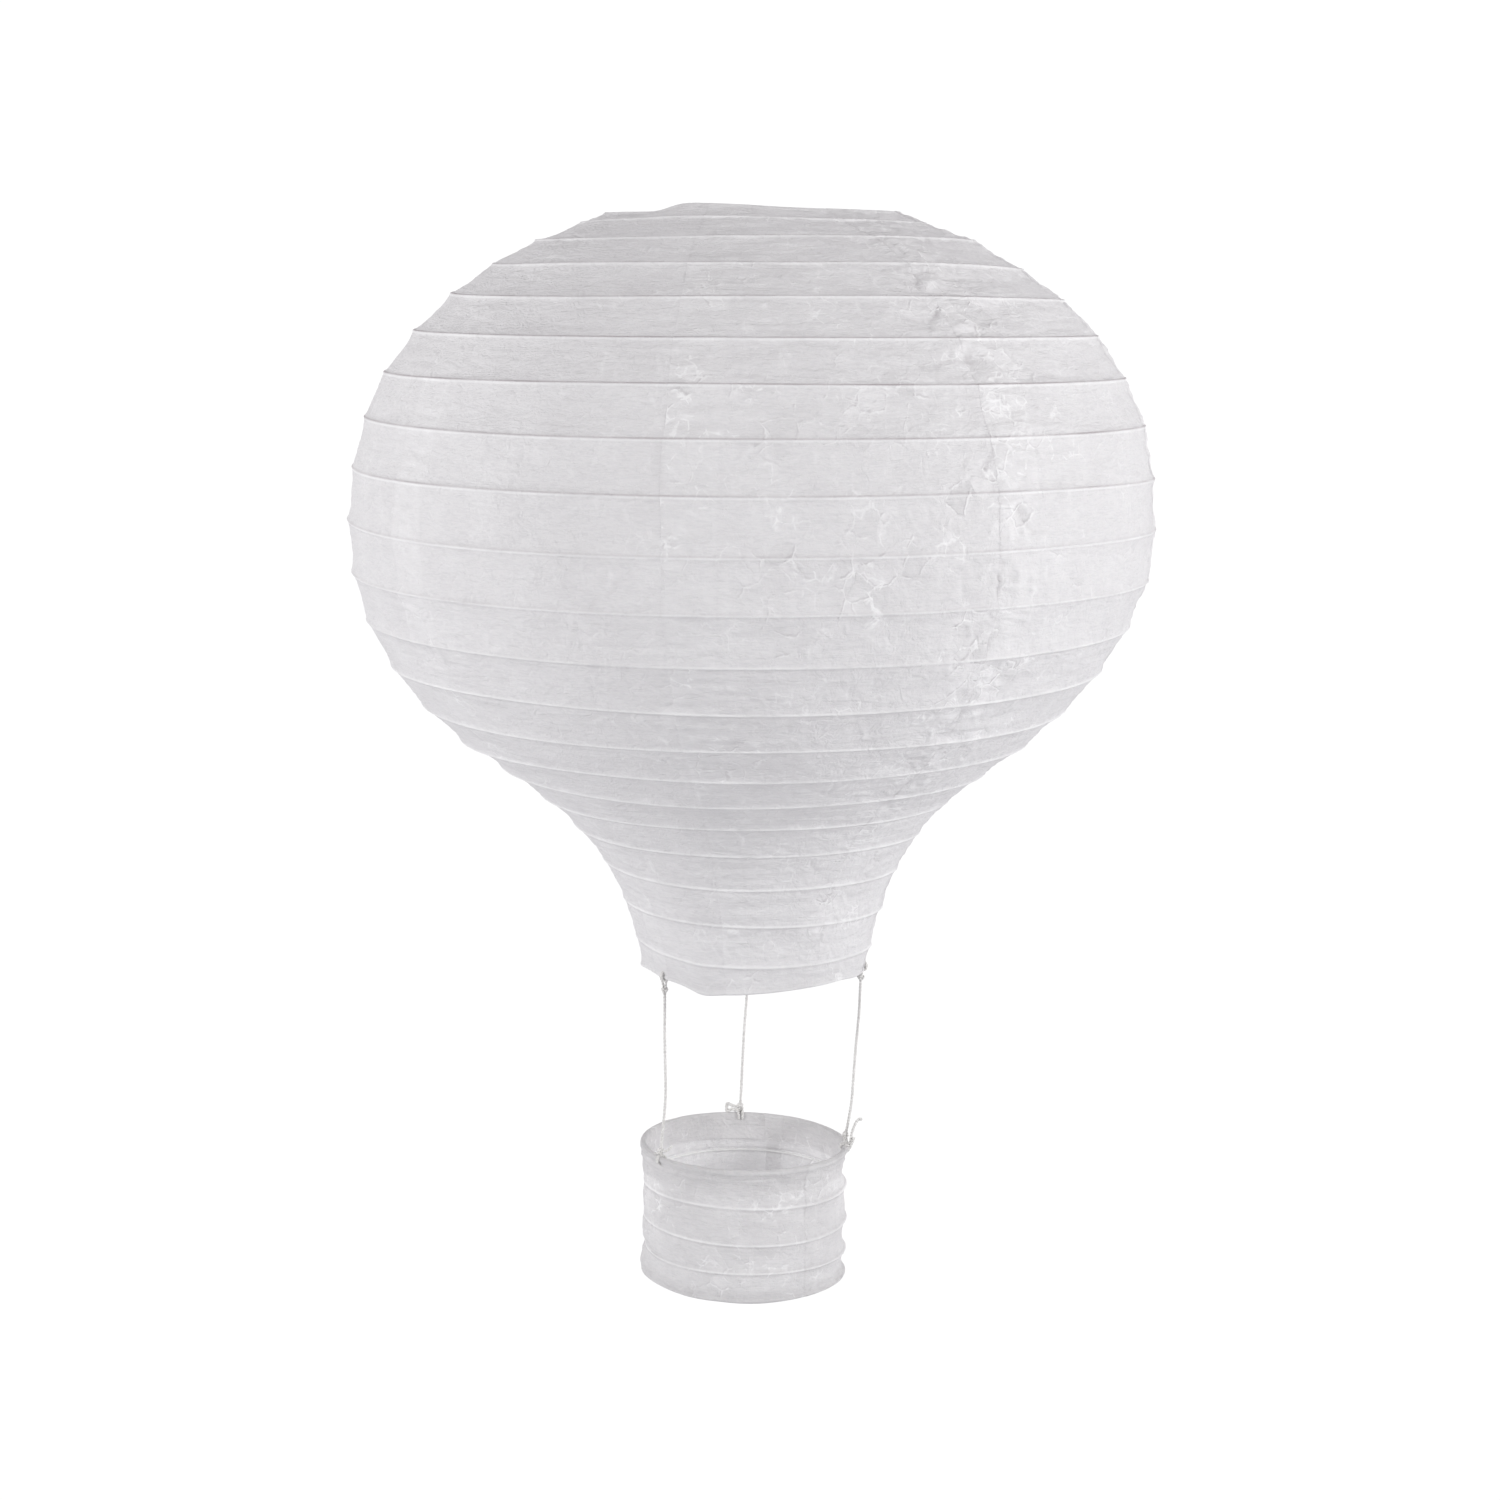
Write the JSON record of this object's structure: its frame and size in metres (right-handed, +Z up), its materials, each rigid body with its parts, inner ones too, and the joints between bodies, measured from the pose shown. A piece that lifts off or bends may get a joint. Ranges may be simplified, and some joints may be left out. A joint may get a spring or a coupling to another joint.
{
  "type": "paper lantern",
  "caption": "White paper lantern shaped like a hot-air balloon: a ribbed paper envelope on wire hoops, with a small round paper basket hung below it on cords.",
  "frame": {"origin": "bearing point inside the hanging loop, where a string or hook carries the lantern", "axes": "+Z up, -Y towards the front, +X to the right seen from the front"},
  "size_m": [0.2998, 0.2998, 0.4065],
  "materials": {
    "envelope_paper": "matte",
    "basket_paper": "matte",
    "cord": "matte",
    "hoop_wire": "satin",
    "frame_wire": "satin"
  },
  "bodies": {
    "frame": {"left_leg": "frame_wire", "right_leg": "frame_wire", "hanger_bar": "frame_wire", "neck_ring": "hoop_wire", "neck_ties": "cord", "gore_1": "envelope_paper", "gore_2": "envelope_paper", "gore_3": "envelope_paper", "gore_4": "envelope_paper", "gore_5": "envelope_paper", "gore_6": "envelope_paper", "gore_7": "envelope_paper", "gore_8": "envelope_paper"},
    "top_ring": {"top_ring": "hoop_wire"},
    "rib_hoop_01": {"rib_hoop_01": "hoop_wire"},
    "rib_hoop_02": {"rib_hoop_02": "hoop_wire"},
    "rib_hoop_03": {"rib_hoop_03": "hoop_wire"},
    "rib_hoop_04": {"rib_hoop_04": "hoop_wire"},
    "rib_hoop_05": {"rib_hoop_05": "hoop_wire"},
    "rib_hoop_06": {"rib_hoop_06": "hoop_wire"},
    "rib_hoop_07": {"rib_hoop_07": "hoop_wire"},
    "rib_hoop_08": {"rib_hoop_08": "hoop_wire"},
    "rib_hoop_09": {"rib_hoop_09": "hoop_wire"},
    "rib_hoop_10": {"rib_hoop_10": "hoop_wire"},
    "rib_hoop_11": {"rib_hoop_11": "hoop_wire"},
    "rib_hoop_12": {"rib_hoop_12": "hoop_wire"},
    "rib_hoop_13": {"rib_hoop_13": "hoop_wire"},
    "rib_hoop_14": {"rib_hoop_14": "hoop_wire"},
    "rib_hoop_15": {"rib_hoop_15": "hoop_wire"},
    "rib_hoop_16": {"rib_hoop_16": "hoop_wire"},
    "rib_hoop_17": {"rib_hoop_17": "hoop_wire"},
    "rib_hoop_18": {"rib_hoop_18": "hoop_wire"},
    "rib_hoop_19": {"rib_hoop_19": "hoop_wire"},
    "rib_hoop_20": {"rib_hoop_20": "hoop_wire"},
    "neck_knot_1": {"neck_knot_1": "cord"},
    "cord_1": {"cord_1": "cord"},
    "neck_knot_2": {"neck_knot_2": "cord"},
    "cord_2": {"cord_2": "cord"},
    "neck_knot_3": {"neck_knot_3": "cord"},
    "cord_3": {"cord_3": "cord"},
    "basket_knot_1": {"basket_knot_1": "cord"},
    "basket": {"basket_rim": "hoop_wire", "basket_ties": "cord", "basket_knot_2": "cord", "basket_knot_3": "cord", "basket_panel_1": "basket_paper", "basket_panel_2": "basket_paper", "basket_panel_3": "basket_paper"},
    "basket_base_ring": {"basket_base_ring": "hoop_wire"},
    "basket_hoop_1": {"basket_hoop_1": "hoop_wire"},
    "basket_hoop_2": {"basket_hoop_2": "hoop_wire"},
    "basket_hoop_3": {"basket_hoop_3": "hoop_wire"}
  },
  "joints": [
    {"name": "envelope_fold", "type": "slide", "parent": "frame", "child": "top_ring", "axis": [0, 0, -1], "range_m": [0, 0.2445], "deforming": ["gore_1", "gore_2", "gore_3", "gore_4", "gore_5", "gore_6", "gore_7", "gore_8"]},
    {"name": "rib_hoop_01_slide", "type": "slide", "parent": "frame", "child": "rib_hoop_01", "axis": [0, 0, -1], "range_m": [0, 0.2413]},
    {"name": "rib_hoop_02_slide", "type": "slide", "parent": "frame", "child": "rib_hoop_02", "axis": [0, 0, -1], "range_m": [0, 0.2349]},
    {"name": "rib_hoop_03_slide", "type": "slide", "parent": "frame", "child": "rib_hoop_03", "axis": [0, 0, -1], "range_m": [0, 0.2272]},
    {"name": "rib_hoop_04_slide", "type": "slide", "parent": "frame", "child": "rib_hoop_04", "axis": [0, 0, -1], "range_m": [0, 0.2178]},
    {"name": "rib_hoop_05_slide", "type": "slide", "parent": "frame", "child": "rib_hoop_05", "axis": [0, 0, -1], "range_m": [0, 0.2063]},
    {"name": "rib_hoop_06_slide", "type": "slide", "parent": "frame", "child": "rib_hoop_06", "axis": [0, 0, -1], "range_m": [0, 0.1931]},
    {"name": "rib_hoop_07_slide", "type": "slide", "parent": "frame", "child": "rib_hoop_07", "axis": [0, 0, -1], "range_m": [0, 0.1783]},
    {"name": "rib_hoop_08_slide", "type": "slide", "parent": "frame", "child": "rib_hoop_08", "axis": [0, 0, -1], "range_m": [0, 0.1626]},
    {"name": "rib_hoop_09_slide", "type": "slide", "parent": "frame", "child": "rib_hoop_09", "axis": [0, 0, -1], "range_m": [0, 0.1465]},
    {"name": "rib_hoop_10_slide", "type": "slide", "parent": "frame", "child": "rib_hoop_10", "axis": [0, 0, -1], "range_m": [0, 0.1305]},
    {"name": "rib_hoop_11_slide", "type": "slide", "parent": "frame", "child": "rib_hoop_11", "axis": [0, 0, -1], "range_m": [0, 0.1152]},
    {"name": "rib_hoop_12_slide", "type": "slide", "parent": "frame", "child": "rib_hoop_12", "axis": [0, 0, -1], "range_m": [0, 0.1013]},
    {"name": "rib_hoop_13_slide", "type": "slide", "parent": "frame", "child": "rib_hoop_13", "axis": [0, 0, -1], "range_m": [0, 0.0888]},
    {"name": "rib_hoop_14_slide", "type": "slide", "parent": "frame", "child": "rib_hoop_14", "axis": [0, 0, -1], "range_m": [0, 0.0779]},
    {"name": "rib_hoop_15_slide", "type": "slide", "parent": "frame", "child": "rib_hoop_15", "axis": [0, 0, -1], "range_m": [0, 0.0683]},
    {"name": "rib_hoop_16_slide", "type": "slide", "parent": "frame", "child": "rib_hoop_16", "axis": [0, 0, -1], "range_m": [0, 0.0582]},
    {"name": "rib_hoop_17_slide", "type": "slide", "parent": "frame", "child": "rib_hoop_17", "axis": [0, 0, -1], "range_m": [0, 0.0477]},
    {"name": "rib_hoop_18_slide", "type": "slide", "parent": "frame", "child": "rib_hoop_18", "axis": [0, 0, -1], "range_m": [0, 0.036]},
    {"name": "rib_hoop_19_slide", "type": "slide", "parent": "frame", "child": "rib_hoop_19", "axis": [0, 0, -1], "range_m": [0, 0.0227]},
    {"name": "rib_hoop_20_slide", "type": "slide", "parent": "frame", "child": "rib_hoop_20", "axis": [0, 0, -1], "range_m": [0, 0.0087]},
    {"name": "swing_fore", "type": "hinge", "parent": "frame", "child": "neck_knot_1", "pos_m": [-0.03275, -0.02605, -0.2863], "axis": [1, 0, 0], "range_deg": [-12, 12]},
    {"name": "swing_side", "type": "hinge", "parent": "neck_knot_1", "child": "cord_1", "pos_m": [-0.03275, -0.02605, -0.2863], "axis": [0, 1, 0], "range_deg": [-12, 12]},
    {"name": "swing_fore_2", "type": "hinge", "parent": "frame", "child": "neck_knot_2", "pos_m": [0.04144, -0.00582, -0.2863], "axis": [1, 0, 0], "range_deg": [-13, 13]},
    {"name": "swing_side_2", "type": "hinge", "parent": "neck_knot_2", "child": "cord_2", "pos_m": [0.04144, -0.00582, -0.2863], "axis": [0, 1, 0], "range_deg": [-13, 13]},
    {"name": "swing_fore_3", "type": "hinge", "parent": "frame", "child": "neck_knot_3", "pos_m": [-0.00058, 0.04185, -0.2863], "axis": [1, 0, 0], "range_deg": [-13, 13]},
    {"name": "swing_side_3", "type": "hinge", "parent": "neck_knot_3", "child": "cord_3", "pos_m": [-0.00058, 0.04185, -0.2863], "axis": [0, 1, 0], "range_deg": [-13, 13]},
    {"name": "level_side", "type": "hinge", "parent": "cord_1", "child": "basket_knot_1", "pos_m": [-0.03463, -0.02281, -0.3497], "axis": [0, 1, 0], "range_deg": [-13, 13]},
    {"name": "level_fore", "type": "hinge", "parent": "basket_knot_1", "child": "basket", "pos_m": [-0.03463, -0.02281, -0.3497], "axis": [1, 0, 0], "range_deg": [-13, 13]},
    {"name": "basket_fold", "type": "slide", "parent": "basket", "child": "basket_base_ring", "axis": [0, 0, 1], "range_m": [0, 0.03785], "deforming": ["basket_panel_1", "basket_panel_2", "basket_panel_3"]},
    {"name": "basket_hoop_1_slide", "type": "slide", "parent": "basket", "child": "basket_hoop_1", "axis": [0, 0, 1], "range_m": [0, 0.01094]},
    {"name": "basket_hoop_2_slide", "type": "slide", "parent": "basket", "child": "basket_hoop_2", "axis": [0, 0, 1], "range_m": [0, 0.02158]},
    {"name": "basket_hoop_3_slide", "type": "slide", "parent": "basket", "child": "basket_hoop_3", "axis": [0, 0, 1], "range_m": [0, 0.03032]}
  ],
  "couplings": [
    {"joint": "rib_hoop_01_slide", "follows": "envelope_fold", "ratio": 0.98542},
    {"joint": "rib_hoop_02_slide", "follows": "envelope_fold", "ratio": 0.95909},
    {"joint": "rib_hoop_03_slide", "follows": "envelope_fold", "ratio": 0.92771},
    {"joint": "rib_hoop_04_slide", "follows": "envelope_fold", "ratio": 0.88918},
    {"joint": "rib_hoop_05_slide", "follows": "envelope_fold", "ratio": 0.84231},
    {"joint": "rib_hoop_06_slide", "follows": "envelope_fold", "ratio": 0.78802},
    {"joint": "rib_hoop_07_slide", "follows": "envelope_fold", "ratio": 0.72755},
    {"joint": "rib_hoop_08_slide", "follows": "envelope_fold", "ratio": 0.66339},
    {"joint": "rib_hoop_09_slide", "follows": "envelope_fold", "ratio": 0.59766},
    {"joint": "rib_hoop_10_slide", "follows": "envelope_fold", "ratio": 0.53221},
    {"joint": "rib_hoop_11_slide", "follows": "envelope_fold", "ratio": 0.46966},
    {"joint": "rib_hoop_12_slide", "follows": "envelope_fold", "ratio": 0.41252},
    {"joint": "rib_hoop_13_slide", "follows": "envelope_fold", "ratio": 0.36167},
    {"joint": "rib_hoop_14_slide", "follows": "envelope_fold", "ratio": 0.317},
    {"joint": "rib_hoop_15_slide", "follows": "envelope_fold", "ratio": 0.27766},
    {"joint": "rib_hoop_16_slide", "follows": "envelope_fold", "ratio": 0.23627},
    {"joint": "rib_hoop_17_slide", "follows": "envelope_fold", "ratio": 0.19362},
    {"joint": "rib_hoop_18_slide", "follows": "envelope_fold", "ratio": 0.14547},
    {"joint": "rib_hoop_19_slide", "follows": "envelope_fold", "ratio": 0.09109},
    {"joint": "rib_hoop_20_slide", "follows": "envelope_fold", "ratio": 0.03415},
    {"joint": "swing_fore_2", "follows": "swing_fore", "ratio": 1},
    {"joint": "swing_side_2", "follows": "swing_side", "ratio": 1},
    {"joint": "swing_fore_3", "follows": "swing_fore", "ratio": 1},
    {"joint": "swing_side_3", "follows": "swing_side", "ratio": 1},
    {"joint": "level_side", "follows": "swing_side", "ratio": -1},
    {"joint": "level_fore", "follows": "swing_fore", "ratio": -1},
    {"joint": "basket_hoop_1_slide", "follows": "basket_fold", "ratio": 0.28112},
    {"joint": "basket_hoop_2_slide", "follows": "basket_fold", "ratio": 0.56225},
    {"joint": "basket_hoop_3_slide", "follows": "basket_fold", "ratio": 0.79317}
  ]
}
